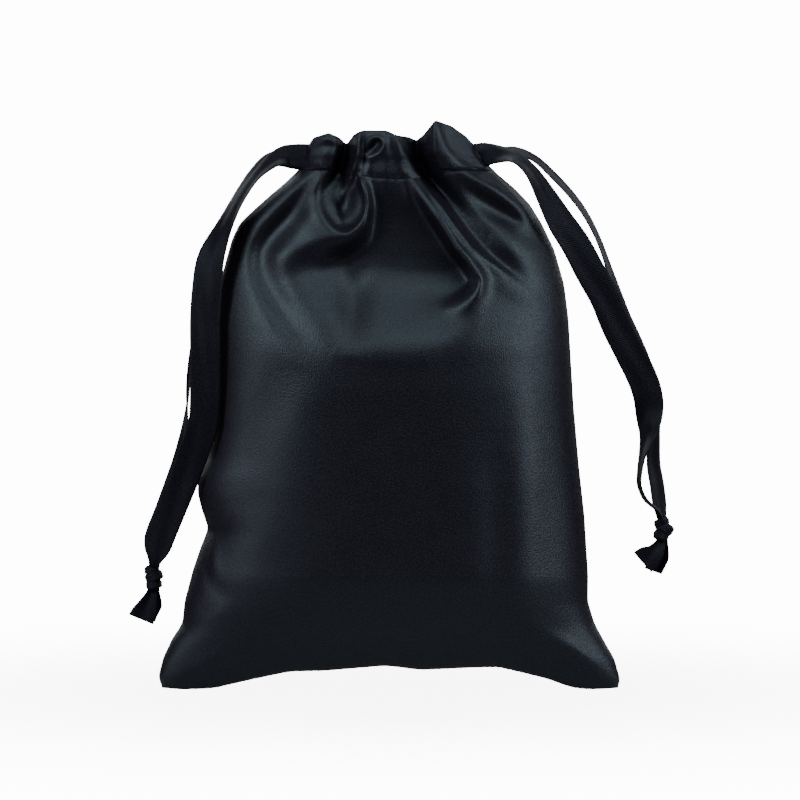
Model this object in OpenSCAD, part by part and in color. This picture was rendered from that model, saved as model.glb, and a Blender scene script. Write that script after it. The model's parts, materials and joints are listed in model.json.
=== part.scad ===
// Drawstring gift pouch in satin, filled and standing, with its mouth gathered on two ribbons.
// X is to the right, the front faces -Y and Z is up. The origin is under the middle of the pouch.

/* [Pouch] */
// Width across the two lower corners
base_w = 146; // [130:1:176]
// Width of the filled pouch at its knee, above the corners
knee_w = 126; // [112:1:130]
// Width of the filled pouch at its waist
waist_w = 113; // [95:1:124]
// Width across the shoulders
shoulder_w = 101; // [84:1:112]
// Height from the floor to the gathered top edge
height = 176; // [146:1:212]
// Height of the knee above the floor
knee_z = 30; // [24:1:36]
// Depth of the shoulder line below the top edge
shoulder_drop = 30; // [26:1:36]
// Depth of the waist below the top edge
waist_drop = 64; // [58:1:72]
// Front to back depth of the belly
belly_depth = 56; // [46:1:68]
// Width of the flat strip that each corner stands on
foot_depth = 20; // [16:1:24]
// Rise of the bottom seam between the two feet
base_arch = 7; // [3:0.5:9]
// Width of each corner foot
foot_w = 16; // [12:1:20]
// Thickness of the lined satin
cloth_t = 0.8; // [0.6:0.1:1.2]

/* [Mouth] */
// Width of the gathered mouth
mouth_w = 52; // [44:1:62]
// Front to back depth of the gathered mouth
mouth_depth = 27; // [25:0.5:32]
// Height of the ribbon casing beyond the width of the ribbon
casing_room = 5.5; // [5:0.5:8]
// Height of the line where the mouth starts to open
neck_z = 128; // [106:1:138]
// Depth of the gathers in the casing
gather = 1.8; // [1:0.1:2.2]
// Length of one stitch of the casing
stitch_l = 2.6; // [2:0.1:3]

/* [Ribbon] */
// Width of the satin ribbon
ribbon_w = 9.5; // [8:0.5:10.5]
// Thickness of the satin ribbon
ribbon_t = 0.5; // [0.4:0.05:0.6]
// Width of each overhand knot
knot_w = 6.5; // [5.5:0.5:7.5]
// Height of each overhand knot
knot_h = 7.5; // [6.5:0.5:8]
// Width of the folded ribbon where it enters and leaves a knot
tail_w = 5; // [4:0.5:6]

/* [Seams] */
// Width of the seam allowances inside the pouch
allowance_w = 5; // [4:0.5:6]
// Width of the overlock thread on an allowance
thread_w = 0.8; // [0.6:0.1:1]

/* [Hidden] */
satin = "#12121a";
satin_inside = "#1b1b22";
ribbon = "#0e0e13";
thread = "#202028";
$fn = 48;

body_gap = 0.3;     // between pieces on different bodies
seam_gap = 0.6;     // between an allowance and the inside of the seam it belongs to
stitch_gap = 0.12;  // between a stitch and the cloth under it
lane = 0.45;        // each of the two ribbons' distance from the casing's middle

casing_h = ribbon_w + casing_room;
casing_z = height - casing_h;
shoulder_z = height - shoulder_drop;
waist_z = height - waist_drop;
tunnel_t = 2.4;
casing_t = tunnel_t + 2 * cloth_t;
tunnel_h = ribbon_w + 1;
ribbon_z = casing_z + cloth_t + tunnel_h / 2;
slit = casing_t / 2 + body_gap + 0.15;  // from Y = 0 to the middle of a casing's end
mouth_d = mouth_depth / 2 - casing_t / 2 - slit - gather;
root_x = mouth_w / 2 + body_gap;
root_l = 3.7;
lobe_pitch = 0.82;  // from one gather to the next, as a share of half the mouth
lobe_shift = 0.1;

// The side outline: half width against height.
outline = [
    [0, base_w / 2 - 1], [4, base_w / 2], [knee_z / 2, (base_w + knee_w) / 4 - 2],
    [knee_z, knee_w / 2], [(knee_z + waist_z) / 2, (knee_w + waist_w) / 4 - 1],
    [waist_z, waist_w / 2], [(waist_z + shoulder_z) / 2, (waist_w + shoulder_w) / 4 + 1],
    [shoulder_z, shoulder_w / 2], [shoulder_z + 6, shoulder_w / 2 - 7],
    [casing_z, mouth_w / 2 + 3], [casing_z + 4, mouth_w / 2], [height + 10, mouth_w / 2]
];
// The side profile: half depth of the rounded part against height.
profile = [
    [0, belly_depth / 2 - 4], [40, belly_depth / 2 - 2], [70, belly_depth / 2],
    [100, belly_depth / 2 - 1], [neck_z, belly_depth / 2 - 3], [casing_z, mouth_d],
    [height + 10, mouth_d]
];
// The gathered top edge: its rise over the top of the casing against the share of half the mouth.
top_edge = [
    [-1, -2.5], [-0.73, -1], [-0.52, -2.5], [-0.3, 0], [0, 0], [0.3, -2], [0.53, 3], [0.78, 1], [1, -2]
];

function smooth(t) = let(s = min(1, max(0, t))) s * s * (3 - 2 * s);
function mix(a, b, t) = a + (b - a) * t;
function half_w(z) = (lookup(z - 2, outline) + 2 * lookup(z, outline) + lookup(z + 2, outline)) / 4;
function half_d(z) = (lookup(z - 4, profile) + 2 * lookup(z, profile) + lookup(z + 4, profile)) / 4;
function crown(u) = pow(max(0, 1 - pow(abs(u), 2.2)), 0.62);
function foot(u) = foot_depth / 2 * sqrt(max(0, 1 - pow(abs(u), 8)));
function arch(x) = base_arch * smooth((base_w / 2 - 2 - foot_w - abs(x)) / 20);
function waves(u) = cos(360 * (u + lobe_shift) / lobe_pitch) * max(0, 1 - pow(u, 4));
function opening(z) = smooth((z - neck_z) / (casing_z - neck_z));

// Depth of the cloth in front of Y = 0, at a share u of the half width or at x, and a height z.
function belly_y(u, z) = mix(foot(u), half_d(z) * crown(u), smooth(z / 40));
function neck_y(x, z) =
    let(over = (slit + casing_t / 2) * (1 - smooth((abs(x) - mouth_w / 2) / 3)))
    half_d(z) * crown(x / half_w(z)) + opening(z) * (over + gather * waves(2 * x / mouth_w));
function casing_y(u) = slit + mouth_d * crown(u) + gather * waves(u);

// Depth of the cloth's inner side where its outer side is at depth y, thinner towards a seam.
function inside(y, inset) = inset == 0 ? y : y - 1.2 * inset * smooth(y / (4 * inset));

// A shell between two sheets of points. s and t run from 0 to 1 across and up each sheet.
module shell(ns, nt, outer, inner) {
    n = (ns + 1) * (nt + 1);
    points = concat(
        [for (j = [0:nt]) for (i = [0:ns]) outer(i / ns, j / nt)],
        [for (j = [0:nt]) for (i = [0:ns]) inner(i / ns, j / nt)]
    );
    function at(i, j) = j * (ns + 1) + i;
    faces = concat(
        [for (j = [0:nt - 1]) for (i = [0:ns - 1]) each [
            [at(i, j), at(i + 1, j + 1), at(i + 1, j)],
            [at(i, j), at(i, j + 1), at(i + 1, j + 1)],
            [n + at(i, j), n + at(i + 1, j), n + at(i + 1, j + 1)],
            [n + at(i, j), n + at(i + 1, j + 1), n + at(i, j + 1)]
        ]],
        [for (i = [0:ns - 1]) each [
            [at(i, 0), at(i + 1, 0), n + at(i + 1, 0)],
            [at(i, 0), n + at(i + 1, 0), n + at(i, 0)],
            [at(i, nt), n + at(i + 1, nt), at(i + 1, nt)],
            [at(i, nt), n + at(i, nt), n + at(i + 1, nt)]
        ]],
        [for (j = [0:nt - 1]) each [
            [at(0, j), n + at(0, j + 1), at(0, j + 1)],
            [at(0, j), n + at(0, j), n + at(0, j + 1)],
            [at(ns, j), at(ns, j + 1), n + at(ns, j + 1)],
            [at(ns, j), n + at(ns, j + 1), n + at(ns, j)]
        ]]
    );
    polyhedron(points, faces, convexity = 6);
}

// A share of the half width from -1 to 1, closer together near the side seams.
function across(s) = sin(180 * s - 90);

// The lower front panel, with the half strip of the base that it stands on.
rows = [0, 0, 3, 7, 12, 18, 26, 36, 48, 62, 78, 94, 110, 120, neck_z];
row_n = len(rows) - 1;
function lift(x, z) = z + arch(x) * (1 - smooth(z / 40));
function panel_point(s, t, inset) =
    let(
        u = across(s),
        j = round(t * row_n),
        flat = j < 2,
        z = min(rows[j], neck_z - (row_n - j)),
        x = u * (half_w(z) - inset),
        y = j == 0 ? 0 : flat ? foot(u) : belly_y(u, z)
    )
    [x, -inside(y, inset), flat ? arch(x) + inset : max(lift(x, z), arch(x) + inset + j * 0.2)];

module front_panel_shape() {
    shell(24, row_n, function(s, t) panel_point(s, t, 0), function(s, t) panel_point(s, t, cloth_t));
}

// The gathered neck between the opening line and the casing, as wide as the mouth.
function neck_point(s, t, inset) =
    let(x = (s - 0.5) * mouth_w, z = mix(neck_z + body_gap, casing_z, t))
    [x, -inside(neck_y(x, z), inset), z];

module front_neck_shape() {
    shell(32, 9, function(s, t) neck_point(s, t, 0), function(s, t) neck_point(s, t, cloth_t));
}

// A shoulder: the cloth between the neck and the right side seam.
function shoulder_point(s, t, inset) =
    let(
        z = mix(neck_z, casing_z, t),
        from = mouth_w / 2 + body_gap,
        share = sin(90 * s),
        y = neck_y(mix(from, half_w(z), share), z)
    )
    [mix(from, half_w(z) - inset, share), s == 1 ? 0 : -inside(y, inset), z];

module front_right_shoulder_shape() {
    shell(10, 12, function(s, t) shoulder_point(s, t, 0), function(s, t) shoulder_point(s, t, cloth_t));
}

// A closed band with a hole along it: rings of four corners, n steps from u = -1 to u = 1.
module hollow_band(n, outer, inner) {
    points = concat(
        [for (i = [0:n]) for (k = [0:3]) outer(2 * i / n - 1, k)],
        [for (i = [0:n]) for (k = [0:3]) inner(2 * i / n - 1, k)]
    );
    m = 4 * (n + 1);
    function next(k) = (k + 1) % 4;
    faces = concat(
        [for (i = [0:n - 1]) for (k = [0:3]) each [
            [4 * i + k, 4 * i + 4 + k, 4 * i + 4 + next(k)],
            [4 * i + k, 4 * i + 4 + next(k), 4 * i + next(k)],
            [m + 4 * i + k, m + 4 * i + 4 + next(k), m + 4 * i + 4 + k],
            [m + 4 * i + k, m + 4 * i + next(k), m + 4 * i + 4 + next(k)]
        ]],
        [for (k = [0:3]) each [
            [k, next(k), m + next(k)],
            [k, m + next(k), m + k],
            [4 * n + k, m + 4 * n + next(k), 4 * n + next(k)],
            [4 * n + k, m + 4 * n + k, m + 4 * n + next(k)]
        ]]
    );
    polyhedron(points, faces, convexity = 6);
}

function corner(u, k, y, half_t, low, high) =
    [u * mouth_w / 2, -y + (k == 0 || k == 3 ? -half_t : half_t), k < 2 ? low : high];

// The top hem, turned down and sewn to make the tunnel for the ribbons.
module front_casing_shape() {
    tunnel_low = ribbon_z - tunnel_h / 2;
    hollow_band(
        48,
        function(u, k) corner(u, k, casing_y(u), casing_t / 2, casing_z, height + lookup(u, top_edge)),
        function(u, k) corner(u, k, casing_y(u), tunnel_t / 2, tunnel_low, tunnel_low + tunnel_h)
    );
}

// A row of stitches in front of the casing, just over its lower edge.
module front_stitching_shape() {
    pitch = stitch_l * 1.45;
    count = floor((mouth_w - 4) / pitch);
    function stitch(k, s, t, out) =
        let(u = ((k - count / 2 + 0.5) * pitch + (s - 0.5) * stitch_l) / (mouth_w / 2))
        [u * mouth_w / 2, -casing_y(u) - casing_t / 2 - stitch_gap - out, casing_z + 1 + 0.5 * t];
    for (k = [0:count - 1]) {
        shell(3, 1, function(s, t) stitch(k, s, t, 0.35), function(s, t) stitch(k, s, t, 0));
    }
}

// One ribbon's run along a casing's tunnel. side is +1 for the lane away from the mouth.
module front_run_shape(side) {
    function edge(s, t, out) =
        let(u = 0.985 * (2 * s - 1))
        [u * mouth_w / 2, -casing_y(u) - side * lane - out, ribbon_z + (t - 0.5) * ribbon_w];
    shell(48, 1, function(s, t) edge(s, t, ribbon_t / 2), function(s, t) edge(s, t, -ribbon_t / 2));
}

// The turn of a ribbon from the front casing into the back one, past the casings' left ends.
module left_turn_shape() {
    turn_r = slit - lane;
    translate([-root_x, 0, ribbon_z - ribbon_w / 2]) linear_extrude(ribbon_w) difference() {
        circle(turn_r + ribbon_t / 2);
        circle(turn_r - ribbon_t / 2);
        translate([0, -2 * turn_r]) square(4 * turn_r);
    }
}

// The straight piece of a ribbon that slides out of the front casing's left end.
module left_root_shape() {
    translate([-root_x - root_l, -slit - lane - ribbon_t / 2, ribbon_z - ribbon_w / 2])
        cube([root_l, ribbon_t, ribbon_w]);
}

// Allowances: a double layer of cloth inside a seam. t runs up a side seam.
function side_x(z) = half_w(z) - cloth_t - seam_gap;
module side_strip(from, wide, thick) {
    function edge(s, t, y) =
        let(z = mix(knee_z, neck_z - 1, t))
        [-side_x(z) + from + s * wide, y, z];
    shell(1, 24, function(s, t) edge(s, t, -thick / 2), function(s, t) edge(s, t, thick / 2));
}

bottom_half = base_w / 2 - foot_w + 2;
module bottom_strip(from, wide, thick) {
    function edge(s, t, y) =
        let(x = mix(-bottom_half, bottom_half, s))
        [x, y, arch(x) + cloth_t + seam_gap + from + t * wide];
    shell(32, 1, function(s, t) edge(s, t, -thick / 2), function(s, t) edge(s, t, thick / 2));
}

// Route points of the four free strands: x, y, z and the ribbon's turn in degrees, where a ribbon
// at 0 shows its face to the front and one at 90 shows its edge.
left_front_route = [
    [-30.5, -3.5, 168, 20], [-33, -4, 168, 35], [-36.5, -5, 166.5, 50], [-41.5, -6, 162, 65],
    [-46, -6.5, 156, 65], [-50, -7.5, 149, 60], [-53.5, -8.5, 142, 45], [-56, -9.5, 135, 25],
    [-57, -10.5, 126, 10], [-57.5, -11, 117, 0], [-57.5, -11.5, 109, 0], [-57.5, -11.5, 101, 0],
    [-57.5, -11.5, 93, 0], [-58, -11, 85, 0], [-60.5, -10, 77, 5], [-63.5, -8, 69, 10],
    [-66.5, -6.5, 61.5, 15], [-69.5, -4.5, 54, 20], [-72.5, -2.5, 46.5, 20], [-74, -1.6, 40.5, 15]
];
left_back_route = [
    [-30.5, 3.5, 168, 20], [-34, 4, 168, 40], [-39, 5, 167, 60], [-43.5, 5.5, 163, 70],
    [-47.5, 5.5, 157.5, 75], [-51.5, 5.5, 150.5, 75], [-55.5, 5.5, 143.5, 75], [-58, 5.5, 138, 80],
    [-59.5, 5.5, 130.5, 85], [-60.5, 5, 123, 90], [-61.5, 5, 115, 90], [-62.5, 5, 108.5, 90],
    [-63.5, 5, 101, 90], [-64, 4.5, 93, 90], [-64.5, 4, 85, 80], [-65, 3.5, 78, 65],
    [-66, 3, 71, 50], [-68, 2.5, 63, 35], [-70.5, 2, 55, 25], [-73, 1.8, 47.5, 15],
    [-74, 1.6, 40.5, 15]
];
right_front_route = [
    [30.5, -3.5, 168.5, -20], [34, -4, 168.5, -40], [39.5, -5.5, 167.5, -60], [44.5, -6, 163, -60],
    [49, -6, 155.5, -45], [53.5, -6, 147.5, -25], [58.5, -5.5, 140, -10], [63, -6, 131.5, 0],
    [67.5, -6, 123.5, 0], [71, -6, 115, 0], [75, -6, 107, 0], [79, -5.5, 99, 5],
    [81, -5.5, 93, 15], [81.5, -5, 87.5, 30], [81, -5, 81, 60], [79.5, -4.5, 75, 80],
    [78.5, -4.5, 69, 90], [78.5, -4, 64.5, 75], [80.5, -3, 60, 30], [84.5, -1.6, 56, 10]
];
right_back_route = [
    [30.5, 3.5, 169, -20], [34, 4.5, 169, -50], [40, 5.5, 170, -70], [46, 5.5, 167.5, -75],
    [52, 5, 162, -75], [58, 5, 155.5, -75], [62.5, 4.5, 149, -75], [66, 4.5, 142, -75],
    [69, 4.5, 134, -75], [71.5, 4.5, 126, -70], [74.5, 4.5, 118, -70], [78, 4.5, 110.5, -70],
    [81, 4.5, 102.5, -65], [82.5, 4.5, 94.5, -60], [83.5, 4, 87.5, -60], [83.5, 3.5, 79, -55],
    [83.5, 3.5, 71, -45], [84.5, 3, 64.5, -20], [85.5, 1.6, 56, -10]
];
left_tails = [
    [[-75.5, -1.2, 30.2, 10], [-77, -1.8, 28, 0], [-80.5, -2.5, 24.5, 0]],
    [[-74, 1.2, 30.2, 10], [-74.5, 1.5, 26, 0], [-75.5, 2, 20.5, 0]]
];
right_tails = [
    [[85, -1.2, 45.8, 10], [83, -1.8, 43, 0], [79, -2.5, 39, 0]],
    [[86, 1.2, 45.8, 10], [86, 1.5, 42, 0], [84.5, 2, 37, 0]]
];
left_knot = [-74.2, 0, 35.2];
right_knot = [86, 0, 50.8];

function unit(v) = v / norm(v);
function place(p) = [p[0], p[1], p[2]];
function heading(route, i) =
    unit(place(route[min(i + 1, len(route) - 1)]) - place(route[max(i - 1, 0)]));

// A flat ribbon with eight sides to its section. narrow gives the width at each step.
module sweep_ribbon(route, narrow) {
    n = len(route);
    half = [[-0.5, -0.3], [-0.45, -0.5], [0.45, -0.5], [0.5, -0.3]];
    section = concat(half, -half);
    points = [for (i = [0:n - 1]) let(
        along = heading(route, i),
        level = unit(cross([0, 1, 0], along)),
        side = unit(level * cos(route[i][3]) + cross(along, level) * sin(route[i][3])),
        face = cross(along, side)
    ) for (c = section) place(route[i]) + side * c[0] * narrow(i, n) + face * c[1] * 1.6 * ribbon_t];
    faces = concat(
        [[for (k = [0:7]) k]],
        [for (i = [0:n - 2]) for (k = [0:7]) let(a = 8 * i + k, b = 8 * i + (k + 1) % 8) each
            [[a, a + 8, b], [b, a + 8, b + 8]]],
        [[for (k = [7:-1:0]) 8 * (n - 1) + k]]
    );
    polyhedron(points, faces, convexity = 6);
}

function strand_width(i, n) = mix(tail_w, ribbon_w, smooth((n - 1 - i) / 4));
function tail_width(i, n) = mix(tail_w * 0.7, tail_w * 1.3, i / (n - 1));
module strand(route) {
    sweep_ribbon(route, function(i, n) strand_width(i, n));
}
module tail(route) {
    sweep_ribbon(route, function(i, n) tail_width(i, n));
}

// An overhand knot: two turns of ribbon, one over the other, round a core.
module knot() {
    turn_r = knot_h * 0.27;
    rotate_extrude() {
        intersection() {
            square([knot_w, knot_h]);
            union() {
                square([knot_w / 2 - turn_r, knot_h]);
                translate([knot_w / 2 - turn_r, turn_r]) circle(turn_r);
                translate([knot_w / 2 - turn_r - 0.3, knot_h - turn_r]) circle(turn_r);
            }
        }
    }
}

module front_panel() { color(satin) front_panel_shape(); }
module back_panel() { color(satin) mirror([0, 1, 0]) front_panel_shape(); }
module left_seam_allowance() { color(satin_inside) side_strip(0, allowance_w, 2 * cloth_t); }
module right_seam_allowance() { mirror([1, 0, 0]) left_seam_allowance(); }
module bottom_seam_allowance() { color(satin_inside) bottom_strip(0, allowance_w, 2 * cloth_t); }
module left_seam_overlock() { color(thread) side_strip(allowance_w, thread_w, 2.5 * cloth_t); }
module right_seam_overlock() { mirror([1, 0, 0]) left_seam_overlock(); }
module bottom_seam_overlock() { color(thread) bottom_strip(allowance_w, thread_w, 2.5 * cloth_t); }
module front_right_shoulder() { color(satin) front_right_shoulder_shape(); }
module front_left_shoulder() { mirror([1, 0, 0]) front_right_shoulder(); }
module back_right_shoulder() { mirror([0, 1, 0]) front_right_shoulder(); }
module back_left_shoulder() { mirror([0, 1, 0]) front_left_shoulder(); }
module front_neck() { color(satin) front_neck_shape(); }
module back_neck() { color(satin) mirror([0, 1, 0]) front_neck_shape(); }
module front_casing() { color(satin) front_casing_shape(); }
module back_casing() { color(satin) mirror([0, 1, 0]) front_casing_shape(); }
module front_casing_stitching() { color(thread) front_stitching_shape(); }
module back_casing_stitching() { color(thread) mirror([0, 1, 0]) front_stitching_shape(); }
module left_ribbon_front_run() { color(ribbon) front_run_shape(1); }
module left_ribbon_back_run() { color(ribbon) mirror([0, 1, 0]) front_run_shape(1); }
module right_ribbon_front_run() { color(ribbon) front_run_shape(-1); }
module right_ribbon_back_run() { color(ribbon) mirror([0, 1, 0]) front_run_shape(-1); }
module right_ribbon_turn() { color(ribbon) left_turn_shape(); }
module left_ribbon_turn() { color(ribbon) mirror([1, 0, 0]) left_turn_shape(); }
module left_ribbon_front_root() { color(ribbon) left_root_shape(); }
module left_ribbon_back_root() { color(ribbon) mirror([0, 1, 0]) left_root_shape(); }
module right_ribbon_front_root() { color(ribbon) mirror([1, 0, 0]) left_root_shape(); }
module right_ribbon_back_root() { color(ribbon) mirror([1, 0, 0]) mirror([0, 1, 0]) left_root_shape(); }
module left_ribbon_front_strand() { color(ribbon) strand(left_front_route); }
module left_ribbon_back_strand() { color(ribbon) strand(left_back_route); }
module right_ribbon_front_strand() { color(ribbon) strand(right_front_route); }
module right_ribbon_back_strand() { color(ribbon) strand(right_back_route); }
module left_ribbon_knot() { color(ribbon) translate(left_knot - [0, 0, knot_h / 2]) knot(); }
module right_ribbon_knot() { color(ribbon) translate(right_knot - [0, 0, knot_h / 2]) knot(); }
module left_ribbon_first_tail() { color(ribbon) tail(left_tails[0]); }
module left_ribbon_second_tail() { color(ribbon) tail(left_tails[1]); }
module right_ribbon_first_tail() { color(ribbon) tail(right_tails[0]); }
module right_ribbon_second_tail() { color(ribbon) tail(right_tails[1]); }

front_panel();
back_panel();
left_seam_allowance();
right_seam_allowance();
bottom_seam_allowance();
left_seam_overlock();
right_seam_overlock();
bottom_seam_overlock();
front_left_shoulder();
front_right_shoulder();
back_left_shoulder();
back_right_shoulder();
front_neck();
back_neck();
front_casing();
back_casing();
front_casing_stitching();
back_casing_stitching();
left_ribbon_front_run();
left_ribbon_back_run();
left_ribbon_turn();
left_ribbon_front_root();
left_ribbon_back_root();
left_ribbon_front_strand();
left_ribbon_back_strand();
left_ribbon_knot();
left_ribbon_first_tail();
left_ribbon_second_tail();
right_ribbon_front_run();
right_ribbon_back_run();
right_ribbon_turn();
right_ribbon_front_root();
right_ribbon_back_root();
right_ribbon_front_strand();
right_ribbon_back_strand();
right_ribbon_knot();
right_ribbon_first_tail();
right_ribbon_second_tail();
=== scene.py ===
import json
import math

import bpy
import numpy as np
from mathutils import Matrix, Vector


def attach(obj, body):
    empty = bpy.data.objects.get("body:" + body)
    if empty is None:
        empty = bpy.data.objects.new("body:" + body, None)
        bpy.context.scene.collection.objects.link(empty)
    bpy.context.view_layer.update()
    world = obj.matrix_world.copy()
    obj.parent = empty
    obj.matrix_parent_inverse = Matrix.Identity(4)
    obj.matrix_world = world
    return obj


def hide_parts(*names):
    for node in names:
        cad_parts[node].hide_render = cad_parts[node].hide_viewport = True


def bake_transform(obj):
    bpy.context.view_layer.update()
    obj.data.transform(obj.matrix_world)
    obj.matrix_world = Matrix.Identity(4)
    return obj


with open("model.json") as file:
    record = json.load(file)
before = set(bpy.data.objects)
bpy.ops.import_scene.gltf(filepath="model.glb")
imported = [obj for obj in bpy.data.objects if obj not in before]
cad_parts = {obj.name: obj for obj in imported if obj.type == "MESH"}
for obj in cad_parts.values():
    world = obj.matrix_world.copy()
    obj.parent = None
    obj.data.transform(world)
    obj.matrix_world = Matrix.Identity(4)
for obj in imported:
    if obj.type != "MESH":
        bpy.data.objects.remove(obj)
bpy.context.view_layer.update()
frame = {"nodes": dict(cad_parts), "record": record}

# Everything below is in millimetres until a mesh is made, and MM turns it into metres.
MM = 0.001
RIBBON_W = 9.5
RIBBON_T = 0.45
RIBBON_ACROSS = 12
CLOTH_T = 0.4
CASING_HALF_W = 26.6
FLAT_W, FLAT_L = 150.0, 215.0

# ---------------------------------------------------------------- camera

def make_camera():
    """A long lens, level with the middle of the pouch and a little above it."""
    middle, distance, rise = Vector((3.3, 0, 91.4)), 1200.0, math.radians(1.5)
    data = bpy.data.cameras.new("camera")
    data.sensor_width = 36.0
    data.lens = 36.0 * distance / 252.0
    data.clip_start, data.clip_end = 0.05, 50
    camera = bpy.data.objects.new("camera", data)
    at = middle + Vector((0, -distance * math.cos(rise), distance * math.sin(rise)))
    camera.location = at * MM
    camera.rotation_euler = (middle - at).to_track_quat("-Z", "Y").to_euler()
    bpy.context.scene.collection.objects.link(camera)
    bpy.context.scene.camera = camera


make_camera()

# ---------------------------------------------------------------- small tools

def smooth(t):
    """0 below t = 0, 1 above t = 1, with an eased rise between."""
    t = np.clip(t, 0, 1)
    return t * t * (3 - 2 * t)


def table(points, blur=0.0):
    """A function through (at, value) points, softened over blur."""
    at, value = (np.array(c, float) for c in zip(*points))
    if not blur:
        return lambda x: np.interp(x, at, value)
    reach = np.linspace(-1.5, 1.5, 13)
    weight = np.exp(-reach**2)
    weight /= weight.sum()
    return lambda x: sum(w * np.interp(np.asarray(x) + r * blur, at, value) for r, w in zip(reach, weight))


def unit(v):
    """Vectors of length 1."""
    return v / np.maximum(np.linalg.norm(v, axis=-1, keepdims=True), 1e-12)


def through(points, per_span):
    """A Catmull-Rom curve through the points, per_span steps to each span."""
    p = np.array(points, float)
    p = np.vstack([2 * p[0] - p[1], p, 2 * p[-1] - p[-2]])
    out = []
    for a, b, c, d in zip(p[:-3], p[1:-2], p[2:-1], p[3:]):
        t = np.linspace(0, 1, per_span, endpoint=False)[:, None]
        out.append(
            0.5 * (2 * b + (c - a) * t + (2 * a - 5 * b + 4 * c - d) * t**2 + (3 * b - a - 3 * c + d) * t**3)
        )
    return np.vstack(out + [p[-2:-1]])


def add_mesh(name, points, faces, material, uv):
    """A smooth piece. uv is where each of its points lies on the flat cloth, in millimetres."""
    mesh = bpy.data.meshes.new(name)
    mesh.from_pydata((np.asarray(points) * MM).tolist(), [], [list(map(int, f)) for f in faces])
    mesh.materials.append(material)
    layer = mesh.uv_layers.new(name="flat")
    corner = np.empty(len(mesh.loops), int)
    mesh.loops.foreach_get("vertex_index", corner)
    layer.data.foreach_set("uv", (np.asarray(uv)[corner] * MM).ravel())
    mesh.polygons.foreach_set("use_smooth", [True] * len(mesh.polygons))
    mesh.update()
    piece = bpy.data.objects.new(name, mesh)
    bpy.context.scene.collection.objects.link(piece)
    return piece


def grid_faces(rows, columns, closed=False):
    """The four-sided faces of a grid of points. closed joins its last column to its first."""
    i, j = np.meshgrid(np.arange(columns - (not closed)), np.arange(rows - 1))
    a = j * columns + i
    b = j * columns + (i + 1) % columns
    return np.stack([a, b, b + columns, a + columns], -1).reshape(-1, 4)


def join_shapes(name, shapes, material):
    """One piece made of several shapes, each with its points, faces and flat lengths."""
    points, faces, uv = [], [], []
    for p, f, u in shapes:
        faces += [tuple(int(i) + len(points) for i in face) for face in f]
        points += p.tolist()
        uv += u.tolist()
    return add_mesh(name, np.array(points), faces, material, np.array(uv))


def tube(line, radius, sides=6):
    """A thread along a line, with rounded ends."""
    line = np.asarray(line, float)
    along = unit(np.gradient(line, axis=0))
    side = unit(np.cross(along, [0.0, 1.0, 0.03]))
    face = np.cross(along, side)
    thick = np.full(len(line), radius)
    thick[0] = thick[-1] = radius * 0.45
    a = np.linspace(0, 2 * np.pi, sides, endpoint=False)
    spoke = side[:, None] * np.cos(a)[:, None] + face[:, None] * np.sin(a)[:, None]
    ring = line[:, None] + thick[:, None, None] * spoke
    faces = [tuple(f) for f in grid_faces(len(line), sides, closed=True)]
    faces += [tuple(range(sides))[::-1], tuple((len(line) - 1) * sides + k for k in range(sides))]
    length = np.concatenate([[0], np.cumsum(np.linalg.norm(np.diff(line, axis=0), axis=1))])
    uv = np.stack(np.broadcast_arrays(a[None, :] * radius, length[:, None]), -1).reshape(-1, 2)
    return ring.reshape(-1, 3), faces, uv


def apply_modifiers(piece):
    """Make the modifiers' result the piece's own mesh."""
    bpy.context.view_layer.update()
    done = bpy.data.meshes.new_from_object(piece.evaluated_get(bpy.context.evaluated_depsgraph_get()))
    done.name = piece.name
    piece.modifiers.clear()
    piece.data = done
    return piece


def thicken(piece, thickness):
    solid = piece.modifiers.new("thickness", "SOLIDIFY")
    solid.thickness = thickness * MM
    solid.offset = -1
    return apply_modifiers(piece)

# ---------------------------------------------------------------- materials

class Nodes:
    """A material's nodes, with short names for the ones used here."""

    def __init__(self, name):
        self.material = bpy.data.materials.new(name)
        self.material.use_nodes = True
        self.tree = self.material.node_tree
        self.shader = self.tree.nodes["Principled BSDF"]

    def add(self, kind, **values):
        made = self.tree.nodes.new(kind)
        for key, value in values.items():
            if hasattr(made, key):
                setattr(made, key, value)
            else:
                made.inputs[key].default_value = value
        return made

    def link(self, a, b):
        self.tree.links.new(a, b)

    def noise(self, where, scale, detail=3.0, stretch=(1, 1, 1)):
        mapping = self.add("ShaderNodeMapping")
        mapping.inputs["Scale"].default_value = stretch
        self.link(where, mapping.inputs["Vector"])
        noise = self.add("ShaderNodeTexNoise")
        noise.inputs["Scale"].default_value = scale
        noise.inputs["Detail"].default_value = detail
        self.link(mapping.outputs["Vector"], noise.inputs["Vector"])
        return noise.outputs["Fac"]

    def ramp(self, value, low, high, colours):
        ramp = self.add("ShaderNodeValToRGB")
        ramp.color_ramp.elements[0].position, ramp.color_ramp.elements[1].position = low, high
        ramp.color_ramp.elements[0].color = (*colours[0], 1)
        ramp.color_ramp.elements[1].color = (*colours[1], 1)
        self.link(value, ramp.inputs["Fac"])
        return ramp.outputs["Color"]

    def span(self, value, low, high):
        spread = self.add("ShaderNodeMapRange")
        spread.inputs["To Min"].default_value = low
        spread.inputs["To Max"].default_value = high
        self.link(value, spread.inputs["Value"])
        return spread.outputs["Result"]

    def bump(self, height, strength, distance, below=None):
        bump = self.add("ShaderNodeBump")
        bump.inputs["Strength"].default_value = strength
        bump.inputs["Distance"].default_value = distance
        self.link(height, bump.inputs["Height"])
        if below is not None:
            self.link(below, bump.inputs["Normal"])
        return bump.outputs["Normal"]

    def math(self, operation, a, b):
        made = self.add("ShaderNodeMath", operation=operation)
        for socket, value in zip(made.inputs, (a, b)):
            if isinstance(value, (int, float)):
                socket.default_value = value
            else:
                self.link(value, socket)
        return made.outputs["Value"]


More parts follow.
